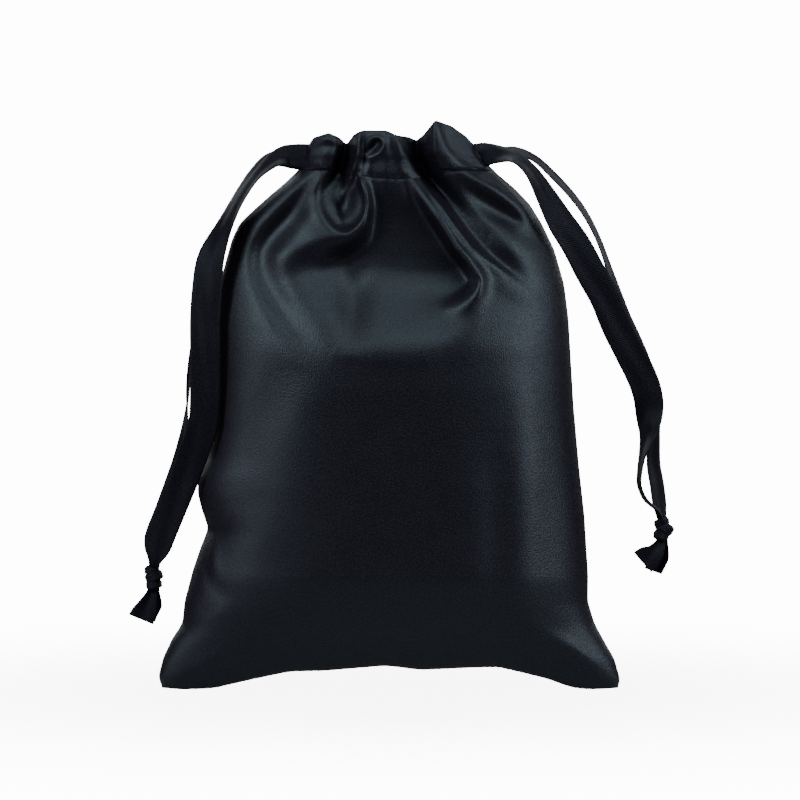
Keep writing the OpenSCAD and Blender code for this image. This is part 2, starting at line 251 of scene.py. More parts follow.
def woven(name, dark, light, roughness, tint, yarn=0.22, streak=8.0, depth=0.2, twill=0.0, gloss=0.5,
          speckle=0.15):
    """Black satin: long floating yarns along the cloth's length, with fine slubs and a cool gloss.

    dark and light are its two colours and roughness is its range. yarn is a yarn's width, streak how many
    times longer a float is than wide, depth the relief of the weave, twill the step of its diagonal lines (0
    for none), gloss the strength of its reflections and speckle the relief of its grain.
    """
    n = Nodes(name)
    flat = n.add("ShaderNodeUVMap", uv_map="flat").outputs["UV"]
    yarns = n.noise(flat, 1000 / yarn / streak, 2.0, (streak, 1, 1))
    picks = n.noise(flat, 1000 / yarn / 3, 1.0, (1, 3, 1))
    slubs = n.noise(flat, 160.0, 4.0, (1, 2.5, 1))
    cloudy = n.noise(flat, 45.0, 3.0)
    specks = n.noise(flat, 1900.0, 1.0)
    n.link(n.ramp(specks, 0.46, 0.66, (dark, light)), n.shader.inputs["Base Color"])
    uneven = n.math("ADD", n.math("MULTIPLY", cloudy, 0.4), n.math("MULTIPLY", slubs, 0.2))
    n.link(n.span(n.math("ADD", uneven, n.math("MULTIPLY", specks, 0.4)), roughness[0], roughness[1]),
           n.shader.inputs["Roughness"])
    height = n.math("ADD", yarns, n.math("MULTIPLY", picks, 0.5))
    if twill:
        wave = n.add("ShaderNodeTexWave", wave_type="BANDS", bands_direction="DIAGONAL")
        wave.inputs["Scale"].default_value = 2 * math.pi / 10 / (twill * math.sqrt(2) * MM)
        wave.inputs["Distortion"].default_value = 0.6
        n.link(flat, wave.inputs["Vector"])
        height = n.math("ADD", height, n.math("MULTIPLY", wave.outputs["Fac"], 1.2))
    grain = n.noise(flat, 2600.0, 2.0)
    height = n.math("ADD", height, n.math("MULTIPLY", grain, 0.8))
    fine = n.bump(height, depth, 0.0002)
    fine = n.bump(specks, speckle, 0.0003, fine)
    n.link(n.bump(slubs, 0.06, 0.0003, fine), n.shader.inputs["Normal"])
    n.shader.inputs["Specular IOR Level"].default_value = gloss
    n.shader.inputs["Specular Tint"].default_value = (*tint, 1)
    return n.material


SATIN = woven("black_satin", dark=(0.004, 0.0022, 0.0052), light=(0.015, 0.011, 0.017),
              roughness=(0.29, 0.56), tint=(0.8, 0.92, 1), speckle=0.4)
LINING = woven("satin_back", dark=(0.004, 0.004, 0.006), light=(0.006, 0.006, 0.008),
               roughness=(0.55, 0.65), tint=(0.8, 0.9, 1))
RIBBON = woven("black_ribbon", dark=(0.004, 0.0026, 0.0056), light=(0.012, 0.010, 0.015),
               roughness=(0.36, 0.6), tint=(0.85, 0.88, 1), yarn=0.3, streak=4.0, depth=0.4, twill=0.6,
               gloss=0.2, speckle=0.2)
THREAD = woven("black_thread", dark=(0.003, 0.003, 0.004), light=(0.006, 0.006, 0.008),
               roughness=(0.5, 0.6), tint=(0.8, 0.9, 1), yarn=0.15, streak=3.0, depth=0.5, gloss=0.2)

# ---------------------------------------------------------------- ribbons

# The strands' routes: x, y, z and turn, as the frame's cord nodes have them, in metres.
LEFT_FRONT = [
    (-0.0305, -0.0035, 0.168, 20), (-0.033, -0.004, 0.168, 35), (-0.0365, -0.005, 0.1665, 50),
    (-0.0415, -0.006, 0.162, 65), (-0.046, -0.0065, 0.156, 65), (-0.05, -0.0075, 0.149, 60),
    (-0.0535, -0.0085, 0.142, 45), (-0.056, -0.0095, 0.135, 25), (-0.057, -0.0105, 0.126, 10),
    (-0.0575, -0.011, 0.117, 0), (-0.0575, -0.0115, 0.109, 0), (-0.0575, -0.0115, 0.101, 0),
    (-0.0575, -0.0115, 0.093, 0), (-0.058, -0.011, 0.085, 0), (-0.0605, -0.01, 0.077, 5),
    (-0.0635, -0.008, 0.069, 10), (-0.0665, -0.0065, 0.0615, 15), (-0.0695, -0.0045, 0.054, 20),
    (-0.0725, -0.0025, 0.0465, 20), (-0.074, -0.0016, 0.0405, 15),
]
LEFT_BACK = [
    (-0.0305, 0.0035, 0.168, 20), (-0.034, 0.004, 0.168, 40), (-0.039, 0.005, 0.167, 60),
    (-0.0435, 0.0055, 0.163, 70), (-0.0475, 0.0055, 0.1575, 75), (-0.0515, 0.0055, 0.1505, 75),
    (-0.0555, 0.0055, 0.1435, 75), (-0.058, 0.0055, 0.138, 80), (-0.0595, 0.0055, 0.1305, 85),
    (-0.0605, 0.005, 0.123, 90), (-0.0615, 0.005, 0.115, 90), (-0.0625, 0.005, 0.1085, 90),
    (-0.0635, 0.005, 0.101, 90), (-0.064, 0.0045, 0.093, 90), (-0.0645, 0.004, 0.085, 80),
    (-0.065, 0.0035, 0.078, 65), (-0.066, 0.003, 0.071, 50), (-0.068, 0.0025, 0.063, 35),
    (-0.0705, 0.002, 0.055, 25), (-0.073, 0.0018, 0.0475, 15), (-0.074, 0.0016, 0.0405, 15),
]
RIGHT_FRONT = [
    (0.0305, -0.0035, 0.1685, -20), (0.034, -0.004, 0.1685, -40), (0.0395, -0.0055, 0.1675, -60),
    (0.0445, -0.006, 0.163, -60), (0.049, -0.006, 0.1555, -45), (0.0535, -0.006, 0.1475, -25),
    (0.0585, -0.0055, 0.14, -10), (0.063, -0.006, 0.1315, 0), (0.0675, -0.006, 0.1235, 0),
    (0.071, -0.006, 0.115, 0), (0.075, -0.006, 0.107, 0), (0.079, -0.0055, 0.099, 5),
    (0.081, -0.0055, 0.093, 15), (0.0815, -0.005, 0.0875, 30), (0.081, -0.005, 0.081, 60),
    (0.0795, -0.0045, 0.075, 80), (0.0785, -0.0045, 0.069, 90), (0.0785, -0.004, 0.0645, 75),
    (0.0805, -0.003, 0.06, 30), (0.0845, -0.0016, 0.056, 10),
]
RIGHT_BACK = [
    (0.0305, 0.0035, 0.169, -20), (0.034, 0.0045, 0.169, -50), (0.04, 0.0055, 0.17, -70),
    (0.046, 0.0055, 0.1675, -75), (0.052, 0.005, 0.162, -75), (0.058, 0.005, 0.1555, -75),
    (0.0625, 0.0045, 0.149, -75), (0.066, 0.0045, 0.142, -75), (0.069, 0.0045, 0.134, -75),
    (0.0715, 0.0045, 0.126, -70), (0.0745, 0.0045, 0.118, -70), (0.078, 0.0045, 0.1105, -70),
    (0.081, 0.0045, 0.1025, -65), (0.0825, 0.0045, 0.0945, -60), (0.0835, 0.004, 0.0875, -60),
    (0.0835, 0.0035, 0.079, -55), (0.0835, 0.0035, 0.071, -45), (0.0845, 0.003, 0.0645, -20),
    (0.0855, 0.0016, 0.056, -10),
]


def ribbon_mesh(name, route, width, bow, per_span=6, slant=0.0):
    """A ribbon along route points of x, y, z and turn.

    width(t) is its width at t from 0 to 1, bow how far its middle stands out, and slant the cut of its end.
    """
    line = through(route, per_span)
    centre, turn = line[:, :3], np.radians(line[:, 3])[:, None]
    along = unit(np.gradient(centre, axis=0))
    level = unit(np.cross([0.0, 1.0, 0.0], along))
    side = unit(level * np.cos(turn) + np.cross(along, level) * np.sin(turn))
    face = np.cross(along, side)
    length = np.concatenate([[0], np.cumsum(np.linalg.norm(np.diff(centre, axis=0), axis=1))])
    t = length / length[-1]
    wide = np.array([width(x) for x in t])[:, None]
    s = np.linspace(-1, 1, RIBBON_ACROSS + 1)
    edge = np.clip((np.abs(s) - 0.86) / 0.14, 0, 1)
    half_t = RIBBON_T / 2 * (1 + 0.35 * np.sin(np.pi * edge)) * np.where(np.abs(s) > 0.999, 0.6, 1.0)
    lift = bow * (1 - s**2) + 0.18 * np.sin(5 * s + length[:, None] / 9)
    cut = np.zeros((len(t), 1))
    cut[-1] = slant
    rim = [
        centre[:, None]
        + side[:, None] * (s * wide / 2)[..., None]
        + face[:, None] * (lift + k * half_t)[..., None]
        + along[:, None] * (cut * s)[..., None]
        for k in (1, -1)
    ]
    ring = np.concatenate([rim[0], rim[1][:, ::-1]], axis=1)
    columns = 2 * (RIBBON_ACROSS + 1)
    faces = [tuple(f) for f in grid_faces(len(centre), columns, closed=True)]
    last = (len(centre) - 1) * columns
    for k in range(RIBBON_ACROSS):
        a, b = k, columns - 1 - k
        faces.append((a, b, b - 1, a + 1))
        faces.append((last + a + 1, last + b - 1, last + b, last + a))
    u = np.concatenate([s, s[::-1]]) * RIBBON_W / 2
    uv = np.stack(np.broadcast_arrays(u[None, :], length[:, None]), -1).reshape(-1, 2)
    piece = add_mesh(name, ring.reshape(-1, 3), faces, RIBBON, uv)
    return piece, centre, length[-1]


def strand(side, face, route):
    """A hanging strand, with the stretch of it that runs inside the end of the casing."""
    out = -1 if side == "left" else 1
    y = -1 if face == "front" else 1
    points = [(out * 22, y * 5.4, 167.4, 0), (out * 24.4, y * 4.4, 167.5, 4), (out * 27, y * 3.6, 167.8, 8)]
    points += [(*(at / MM for at in place), turn) for *place, turn in route]
    if side == "right":
        # both strands go on into the knot nearly edge on
        near_knot = 84 if face == "front" else -61
        points[-4:] = [(*p[:3], near_knot) for p in points[-4:]]
    knot_x, _, knot_z = KNOTS[side][0]
    points.append((knot_x, y * 0.5, knot_z + 1, points[-1][3]))
    before_knot = [(0.95, 8), (0.975, 3.6)] if side == "left" else [(0.95, RIBBON_W), (0.975, 7)]
    width = table([(0, RIBBON_W - 1), (0.1, RIBBON_W - 2), (0.2, RIBBON_W - 0.6), (0.3, RIBBON_W),
                   (0.93, RIBBON_W), *before_knot, (1, 2.8)], 0.005)
    piece, centre, length = ribbon_mesh(f"{side}_{face}_strand", points, width, bow=0.25)
    nodes = [f"{side}_ribbon_{face}_strand", f"{side}_ribbon_{face}_root"]
    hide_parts(*nodes)
    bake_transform(piece)
    return piece, centre, length


def wrap(centre, radii, width, tilt):
    """One turn of pleated ribbon round a knot, tilted in the view from the front."""
    t = np.linspace(0, 2 * np.pi, 73)[:-1, None]
    a = np.linspace(0, 2 * np.pi, 25)[None, :-1]
    out = 0.85 * np.cos(a) * (1 + 0.16 * np.cos(7 * a + 2 * t)) + 0.12 * np.sin(3 * t)
    up = width / 2 * np.sign(np.sin(a)) * np.abs(np.sin(a)) ** 0.75 * (1 + 0.12 * np.sin(2 * t))
    x, y = (radii[0] + out) * np.cos(t), (radii[1] + out) * np.sin(t)
    lean = math.radians(tilt)
    across = x * math.cos(lean) - up * math.sin(lean)
    height = x * math.sin(lean) + up * math.cos(lean)
    points = np.stack([across, y, height], -1)
    faces = grid_faces(t.size, a.size, closed=True).tolist()
    last, n = (t.size - 1) * a.size, a.size
    faces += [(last + k, last + (k + 1) % n, (k + 1) % n, k) for k in range(n)]
    uv = np.stack(np.broadcast_arrays(up * 2, t * 3), -1).reshape(-1, 2)
    return points.reshape(-1, 3) + centre, faces, uv


def knot_mesh(name, centre, wraps):
    """An overhand knot pulled tight: turns of folded ribbon that cross, pressed together round a core."""
    core = tube([(0, 0, z) for z in np.linspace(-3.6, 3.6, 9)], 1.5, 12)
    shapes = [core] + [wrap(*w) for w in wraps]
    return join_shapes(name, [(p + centre, f, u) for p, f, u in shapes], RIBBON)


# Each knot: its centre, and its turns of ribbon as centre, radii, width and tilt.
KNOTS = {
    "left": ((-74.4, 0, 35.2), [
        ((0.1, 0, 0.5), (2.0, 1.9), 3.6, 34),
        ((-0.5, 0, 2.1), (1.6, 1.6), 2.8, -22),
        ((0.1, 0, -2.0), (1.7, 1.6), 3.2, 24),
    ]),
    "right": ((86.2, 0, 50.6), [
        ((0.5, 0, 0.4), (2.1, 1.9), 3.8, -40),
        ((-0.4, 0, 2.2), (1.6, 1.6), 2.8, 24),
        ((-0.6, 0, -1.9), (1.6, 1.6), 3.0, -18),
    ]),
}
# Each tail: its route from inside the knot, its width at the end, and the slant of its cut.
TAILS = {
    "left": [
        ([(-74.6, -0.6, 33.5, 10), (-75.0, -1.0, 30.4, 0), (-76.4, -1.6, 26.2, -6), (-78.3, -2.2, 22.3, -10)],
         8.4, 0.3),
        ([(-74.2, 0.6, 33.5, 10), (-74.2, 1.2, 30, 20), (-74.8, 1.9, 26.2, 25), (-76.4, 2.2, 22.0, 30)],
         5.6, 0.4),
    ],
    "right": [
        ([(85.8, -0.6, 49, 20), (85.4, -1.0, 46.6, 0), (83.4, -1.8, 43.2, -10), (79.6, -2.4, 40.4, -16)],
         8.9, 0.6),
        ([(86.2, 0.6, 49, 10), (86.2, 1.2, 45.6, 20), (85.2, 1.9, 41.4, 30), (83.2, 2.2, 37.2, 36)],
         6.6, 0.5),
    ],
}


def make_ribbon(side, front, back):
    """A ribbon's knot, its two tails and the two strands that hang from the casing's end to the knot."""
    centre, wraps = KNOTS[side]
    knot = knot_mesh(f"{side}_knot", np.array(centre), wraps)
    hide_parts(f"{side}_ribbon_knot")
    tails = []
    for word, (route, wide, slant) in zip(("first", "second"), TAILS[side]):
        fan = table([(0, 2.6), (0.25, 3.4), (0.55, 6.2), (0.8, wide - 0.4), (1, wide)], 0.05)
        tail, _, _ = ribbon_mesh(f"{side}_{word}_tail", route, fan, bow=0.8, per_span=8, slant=slant)
        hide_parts(f"{side}_ribbon_{word}_tail")
        tails.append(tail)
    for piece in [knot, *tails]:
        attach(piece, f"{side}_ribbon_loop")
    for face, route in (("front", front), ("back", back)):
        piece, line, length = strand(side, face, route)


make_ribbon("left", LEFT_FRONT, LEFT_BACK)
make_ribbon("right", RIGHT_FRONT, RIGHT_BACK)

# ---------------------------------------------------------------- the pouch's shape

# Side outlines: distance from the middle against height, left and right.
LEFT_SIDE = table([
    (0, 71.5), (4, 73), (10, 71.5), (16, 68.7), (21, 65.4), (28, 64.7), (38, 62), (45, 59.6), (51, 57.2),
    (57, 59.3), (62, 60.5), (67, 60.3), (74, 57.5), (82, 56), (98, 55), (117, 54.6), (128, 53.4),
    (135, 51.6), (142, 49.6), (147, 47.2), (151, 43), (156, 37.4), (160, 32.6), (164, 28.4), (168, 26.6),
    (182, 26.2),
], 1.2)
RIGHT_SIDE = table([
    (0, 71.8), (3, 72.9), (10, 70.9), (14, 68.5), (21, 64.7), (28, 62.6), (36, 62.7), (55, 61.5),
    (71, 59.7), (90, 58), (117, 56.4), (128, 55), (139, 51.8), (147, 47.9), (153, 44.2), (158, 39.4),
    (163, 33.4), (166, 30), (169, 27.5), (182, 26.5),
], 1.2)
# The same outlines without their small notches, which only the cloth near the seams follows.
LEFT_MEAN = table([
    (0, 71), (6, 71), (14, 68.5), (24, 65), (40, 61.6), (60, 59), (80, 57), (98, 55.4), (117, 54.6),
    (128, 53), (136, 51), (143, 48.2), (149, 44), (155, 38.2), (160, 32.8), (165, 28.4), (170, 26.8),
    (182, 26.2),
], 3)
RIGHT_MEAN = table([
    (0, 71), (6, 71), (14, 68), (24, 64.6), (40, 62.4), (60, 60.6), (80, 58.8), (98, 57.6), (117, 56.2),
    (128, 54.4), (139, 51.4), (147, 47.8), (153, 43.6), (159, 37.8), (164, 32), (168, 28.6), (172, 27.2),
    (182, 26.6),
], 3)
# Half depth against height.
DEPTH = table([
    (0, 24), (35, 26.5), (65, 27.3), (95, 27), (108, 26), (118, 23.5), (130, 19.5), (142, 15.8), (152, 12),
    (160, 8.4), (166, 7), (182, 7),
], 3.0)
# The underside of the base: its height along X.
BASE = table([
    (-73, 0.6), (-66, 0), (-56, 0.4), (-45, 3.0), (-32, 5.7), (-20, 6), (-1, 7.6), (10, 6.2), (26, 6.9),
    (35, 7.2), (50, 3.6), (58, 0.6), (64, 0), (73, 0.5),
], 2.5)
# The top edge along X, and the line of stitches under the casing.
TOP = table([
    (-27, 169), (-24, 173.6), (-19, 175), (-15.5, 173.5), (-13.6, 171.6), (-11, 174.6), (-8.5, 175.8),
    (-1, 175.6), (2, 174.2), (6, 173.7), (8, 172.8), (10.5, 174.6), (14, 178.8), (19, 177.2), (23.6, 174),
    (27, 170),
], 0.5)
STITCH = table([
    (-27, 165.4), (-18, 163.6), (-12, 162), (0, 160.6), (9, 161.5), (14, 163), (22, 163.6), (27, 163.4),
], 1.5)
# The casing's gathers: how far each lobe stands out, along X.
LOBES = table([
    (-27, 0), (-24.5, 1.8), (-20, 3.0), (-16.6, 1.6), (-13.8, -3.4), (-11.6, -1.0), (-9.8, 2.8), (-8, 0.2),
    (-5.5, 2.2), (-1, 3.4), (3.2, 2.0), (6, -1.2), (8.6, -4.0), (11.4, 0.2), (14, 3.4), (19, 2.6),
    (24, 1.2), (27, 0),
], 0.55)
BACK_LOBES = table([
    (-27, 0), (-24, 2.2), (-20.5, 2.4), (-17.5, -2.8), (-14, 1.8), (-10, 3.2), (-6.5, -1.8), (-4.4, -3.2),
    (-1, 2.2), (3.5, 3.0), (7, 0.4), (9, -3.6), (12.5, 2.4), (16.5, 3.0), (19.4, -2.2), (22.6, 2.0),
    (27, 0),
], 1.3)

# Folds: points down each fold of x, z, height, width on its left and width on its right.
FRONT_FOLDS = [
    # the drip-shaped pleat under the left lobe, from its left arm round to its right one and up to the top
    [(-19.0, 166, 1.0, 2.4, 4), (-21.6, 161, 1.7, 2.2, 5), (-22.8, 155.6, 2.0, 2.0, 6),
     (-21.8, 149.8, 2.1, 1.9, 6), (-18.4, 145.4, 2.2, 1.8, 6), (-13.6, 143.2, 2.3, 1.7, 5),
     (-9.2, 146, 2.4, 1.5, 3), (-6.8, 151, 2.5, 1.3, 2), (-7.2, 155.5, 2.4, 1.1, 1.6),
     (-8.8, 160, 2.1, 1.0, 1.4), (-9.6, 166, 1.7, 0.9, 1.1), (-9.4, 172, 1.2, 0.8, 0.9),
     (-8.4, 176, 0.6, 0.8, 0.9)],
    # the hollow inside it, with a small pinched ridge at its foot
    [(-14, 172, -1.2, 2, 2), (-14.2, 165, -2.6, 2.6, 2.6), (-14.5, 158, -4.6, 3.6, 3.6),
     (-14.5, 152, -5.0, 4, 4), (-14, 148, -2.4, 3.4, 3.4)],
    [(-17.2, 154.4, 0.1, 1, 1.4), (-16.6, 151.6, 1.3, 1, 1.6), (-15.6, 148.6, 1.5, 1, 1.8),
     (-14.4, 145.4, 0.4, 1, 1.8)],
    # the long ridge from the middle lobe down to the right, and its hook
    [(1.6, 173.6, 0.9, 0.9, 2), (4.4, 169, 1.4, 0.9, 2.2), (7.6, 163.6, 2.0, 1.0, 2.2),
     (12, 157, 2.6, 1.0, 2.0), (16.2, 151.6, 2.8, 1.1, 1.9), (20.4, 145.6, 2.6, 1.2, 1.9),
     (25, 139.8, 2.0, 1.2, 1.9), (29.6, 135.6, 1.3, 1.2, 1.9), (35, 132, 0.6, 1.2, 1.9),
     (40, 129.6, 0.1, 1.2, 1.9)],
    # the softer twin of that ridge just inside it, which hooks back round the bowl
    [(5.6, 162.4, 0.4, 0.9, 1.6), (9.4, 157, 1.8, 1.0, 2.0), (13.4, 151.4, 2.8, 1.2, 2.4),
     (17.6, 145, 3.4, 1.4, 2.6), (21.4, 139, 3.6, 1.8, 2.8), (25, 134.6, 3.4, 2.4, 2.8),
     (27.4, 130, 3.2, 3, 2.8), (26.8, 125.6, 2.8, 3.2, 2.8), (23.4, 122.4, 2.0, 3.4, 2.8),
     (18, 120.6, 1.0, 3.6, 3), (12, 119.6, 0.1, 3.6, 3)],
    # the valley on the ridge's right, down to a crease
    [(7.4, 173.6, -1.6, 1.8, 1.2), (9, 169, -2.4, 2.2, 1.3), (11.6, 163.6, -4.2, 2.8, 1.5),
     (15.4, 158, -4.8, 3.2, 1.6), (19.4, 152.8, -4.4, 3.6, 1.7), (24, 146.6, -2.6, 4, 1.8),
     (29.4, 140, -1.7, 4, 1.6), (35, 134.4, -1.2, 3, 1.2), (41.6, 129.2, -0.3, 3, 1)],
    # the bright band under that crease
    [(30, 133, 0.3, 2, 3), (36, 128.6, 0.8, 2.2, 4), (43, 124.6, 0.5, 2.4, 4), (48, 122.5, 0, 2.4, 4)],
    # the ridge of the right lobe, from its peak round the shoulder to a dark pocket
    [(13.9, 179, 2.2, 1.8, 5.5), (15.4, 173.4, 3, 2, 5.5), (17.6, 168.6, 3, 2.2, 4.4),
     (21.4, 165.2, 2.8, 2.2, 3), (26, 161.8, 2.4, 2.4, 2.4), (31.4, 158.6, 2.6, 2.8, 2.3),
     (37, 155, 2.6, 3.2, 2.2), (41.4, 151, 2.1, 3.4, 2.2), (43, 147.4, 1.1, 3, 2.2),
     (41.4, 144, 0.2, 3, 2.4)],
    [(21.5, 158.6, -0.9, 2.4, 3), (27, 155, -2.4, 2.4, 3.6), (33.5, 151, -3.0, 2.6, 3.6),
     (38.6, 147.8, -2.2, 2.4, 3), (41, 145.6, -0.4, 2.4, 3)],
    # the puff below the pocket
    [(31, 143, 0.4, 5, 4), (38.4, 140, 1.7, 5, 4.6), (44.5, 134, 1.4, 6, 6), (46.5, 122, 0.4, 6, 7),
     (45.5, 110, 0.2, 6, 8)],
    # the left shoulder's ridge and the dark arc inside it, which is the left side of the bowl
    [(-24.6, 166, 0.6, 2.4, 1.6), (-28.6, 160.4, 1.2, 2.6, 1.8), (-34.6, 154, 1.6, 3, 2),
     (-40.4, 147.4, 1.5, 3.6, 2.4), (-44.6, 140, 0.7, 4, 3), (-46.4, 131, 0.1, 4, 3)],
    [(-23.4, 163, -0.8, 2.4, 2.4), (-26.6, 156, -2.2, 3.6, 3.2), (-31, 149.4, -3.4, 4.4, 3.4),
     (-36.6, 143.6, -4.2, 4.8, 3.4), (-40.2, 137.6, -4.4, 5, 3.2), (-39.4, 130.6, -4.0, 5, 3.4),
     (-36, 123.4, -3.2, 5, 3.6), (-31, 116.6, -2.2, 5.4, 4.4), (-24, 109.6, -0.8, 6, 5),
     (-17, 106, 0, 6, 6)],
    # a soft valley down the foot of the hollow, and the swell below it
    [(-10, 134, -0.3, 5, 5), (-11, 127, -1.9, 5, 5), (-11.5, 120, -2.1, 5, 5), (-12, 113, -1.3, 5.5, 5.5),
     (-12.5, 106, -0.1, 6, 6)],
    [(-20, 113, 0.2, 8, 6), (-8, 108.4, 0.9, 9, 6), (6, 107.6, 1.1, 9, 6), (20, 113, 0.7, 9, 6),
     (28, 121, 0.1, 8, 6)],
    # the rolled rim and the small hole in the middle lobe
    [(-7.9, 167.6, 0.3, 0.7, 0.8), (-5.2, 167.2, 1.0, 0.7, 0.8), (-2.6, 169.2, 1.1, 0.7, 0.9),
     (-1.8, 171.8, 1.2, 0.7, 0.9), (-3.6, 173.4, 1.0, 0.7, 0.9), (-6.2, 172.6, 0.9, 0.7, 0.8),
     (-7.9, 170, 0.5, 0.7, 0.8)],
    [(-6.4, 168.8, -1.0, 1.0, 1.0), (-5, 170.4, -2.8, 1.3, 1.3), (-3.8, 171.8, -2.2, 1.1, 1.1)],
    [(-1.2, 175.6, 0.3, 0.6, 0.7), (-0.9, 171.6, 0.8, 0.6, 0.7), (-1.6, 168, 0.1, 0.6, 0.7)],
    # the rolled rim of the left lobe
    [(-24.8, 168.4, 0.2, 1, 1), (-23.2, 171.4, 0.8, 1, 1), (-20, 173, 1.0, 1, 1),
     (-16.4, 171.8, 0.4, 1, 1)],
    [(-22, 169.8, -0.3, 1, 1), (-19.6, 170.8, -0.9, 1, 1), (-17.2, 170.8, -0.3, 1, 1)],
    # the sharp crease low on the left, and the soft ones beside it
    [(-60, 66, 0.3, 2, 1.1), (-58.4, 58, 1.4, 2.4, 1.0), (-56.6, 50, 1.8, 2.6, 1.0),
     (-55.7, 42, 1.4, 2.6, 1.0), (-55, 34, 0.1, 2.6, 1.2)],
    [(-62, 54, -0.3, 1.4, 2), (-59.6, 47, -1.3, 1.4, 2.4), (-58, 40, -1.3, 2, 2.6), (-54, 33, -1.0, 3, 3),
     (-46, 28, -0.2, 4, 4)],
    [(-66, 23, 0.2, 3, 3), (-61, 22, 1.3, 3.6, 4), (-54, 24, 1.1, 3.4, 5), (-47, 29, 0.1, 4, 5)],
    # the folds that run into the two lower corners
    [(41, 22, 0.1, 4, 4), (48, 17.4, 1.2, 3.4, 4), (57, 14, 1.8, 2.6, 3.6), (65, 8, 1.3, 2.4, 3),
     (71, 3.8, 0.1, 2, 3)],
    [(44, 13, -0.2, 3, 3), (54, 9, -1.1, 3, 3), (62, 5.6, -0.8, 3, 3)],
    [(-42, 15, 0.1, 4, 4), (-54, 11, 1.1, 4, 3.4), (-64, 6.4, 1.1, 3, 2.6), (-71, 3.5, 0.1, 3, 2)],
    [(-46, 8, -0.2, 3, 3), (-56, 5, -0.8, 3, 3), (-64, 2.6, -0.3, 3, 3)],
    # slow swells of the belly
    [(-30, 104, -0.2, 7, 8), (-36, 94, -1.0, 8, 8), (-42, 80, -1.0, 9, 8), (-42, 64, -0.5, 9, 8)],
    [(40, 104, 0.2, 6, 8), (42.5, 84, 1.0, 6, 8), (43, 50, 1.1, 6, 8), (42, 24, 0.3, 6, 8)],
    [(31, 84, 0.1, 6, 5), (33, 62, -0.5, 6, 5), (33, 36, -0.5, 6, 5), (33, 22, 0, 6, 5)],
]
BACK_FOLDS = [
    [(-17, 166, -1.0, 2, 2), (-22, 156, -2.6, 2.6, 3), (-29, 146, -2.4, 3, 4), (-36, 135, -1.2, 4, 5),
     (-40, 124, -0.1, 4, 6)],
    [(-12, 168, 0.5, 2.4, 2), (-14.5, 158, 2.0, 3, 2), (-18, 147, 2.6, 3.6, 2.2), (-23, 137, 2.2, 4, 2.8),
     (-30, 126, 1.0, 5, 4), (-36, 116, 0, 6, 5)],
    [(-4.5, 168, -1.2, 2, 2), (-5.5, 158, -3.4, 2.4, 3), (-7.5, 147, -3.6, 3, 4), (-11, 136, -2.2, 4, 5),
     (-14, 124, -0.2, 5, 6)],
    [(1, 168, 0.8, 2, 2.4), (1.5, 157, 2.6, 2, 3), (1, 146, 3.0, 2.2, 3.6), (-1, 135, 2.4, 2.8, 4.4),
     (-4, 123, 0.8, 4, 5), (-6, 114, 0, 5, 5)],
    [(9, 168, -1.4, 2, 2), (11, 158, -3.6, 3, 2.4), (15, 147, -3.4, 4, 2.6), (20, 137, -2.0, 5, 3.4),
     (24, 127, -0.2, 6, 4)],
    [(14, 168, 0.8, 2, 2.4), (18, 158, 2.2, 2.2, 3), (24, 149, 2.6, 2.4, 3.6), (31, 140, 2.0, 3, 4.4),
     (38, 129, 0.6, 4, 5)],
    [(20, 165, -0.6, 2, 2), (26, 158, -1.8, 2.4, 2.4), (34, 150, -2.0, 2.8, 2.6), (41, 141, -1.0, 3, 3),
     (45, 132, 0, 4, 4)],
    [(-26, 108, 0.2, 8, 8), (-10, 102, 1.0, 9, 9), (10, 104, 0.9, 9, 9), (28, 110, 0.1, 8, 8)],
    [(44, 26, 0.1, 4, 4), (50, 18, 1.2, 4, 3), (59, 12, 1.7, 4, 2.6), (67, 6.6, 1.0, 3, 2.4),
     (71, 3.5, 0.1, 3, 2)],
    [(-42, 26, 0.1, 4, 4), (-50, 17, 1.3, 3, 4), (-60, 11, 1.7, 2.6, 4), (-67, 6.6, 1.0, 3, 3),
     (-71, 3.5, 0.1, 3, 2)],
    [(58, 78, 0.1, 2, 3), (52, 66, 1.1, 2, 3), (49, 54, 1.2, 2, 3), (52, 42, 0.2, 2, 3)],
    [(-58, 64, 0.1, 3, 2), (-54, 52, 1.0, 3, 2), (-50, 42, 1.1, 3, 2), (-46, 33, 0.1, 3, 2)],
]


def fold_height(x, z, folds):
    """How far the folds lift the cloth at each (x, z)."""
    total = np.zeros_like(x)
    for fold in folds:
        line = through(fold, 4)
        share, lift = np.zeros_like(x), np.zeros_like(x)
        for a, b in zip(line[:-1], line[1:]):
            d = b[:2] - a[:2]
            t = np.clip(((x - a[0]) * d[0] + (z - a[1]) * d[1]) / (d @ d), 0, 1)
            dx, dz = x - a[0] - t * d[0], z - a[1] - t * d[1]
            distance = np.hypot(dx, dz)
            on_left = d[0] * dz - d[1] * dx > 0
            mixed = a[2:] + t[..., None] * (b[2:] - a[2:])
            width = np.where(on_left, mixed[..., 1], mixed[..., 2])
            weight = (distance**2 + 0.2) ** -4
            share += weight
            lift += weight * mixed[..., 0] * np.exp(-((distance / width) ** 2.1))
        total += lift / share
    return total


# The hollow between the pleat and the long ridge: upright cloth over a steep ledge. LEDGE is the ledge's
# height along X, HOLLOW its depth above and below the ledge, and HOLLOW_SHARE how much of that it has along X.
LEDGE = table([(-40, 128), (-30, 130), (-20, 128.5), (-8, 126), (4, 124.5), (16, 123.5), (26, 126)], 2)
HOLLOW = table([
    (-25, 0), (-20.5, 0.2), (-16.5, 0.8), (-12.5, 1.6), (-8.5, 2.8), (-4.5, 4.1), (-0.5, 5.4), (3.5, 6.5),
    (7.5, 6.9), (11.5, 6.2), (15.5, 5.2), (19.5, 4.3), (25.5, 3.0), (35.5, 1.0), (44, 0.3),
], 1.5)
HOLLOW_SHARE = table([(-38, 0), (-30, 0.4), (-22, 0.85), (-14, 1.05), (0, 1), (30, 1)], 2)
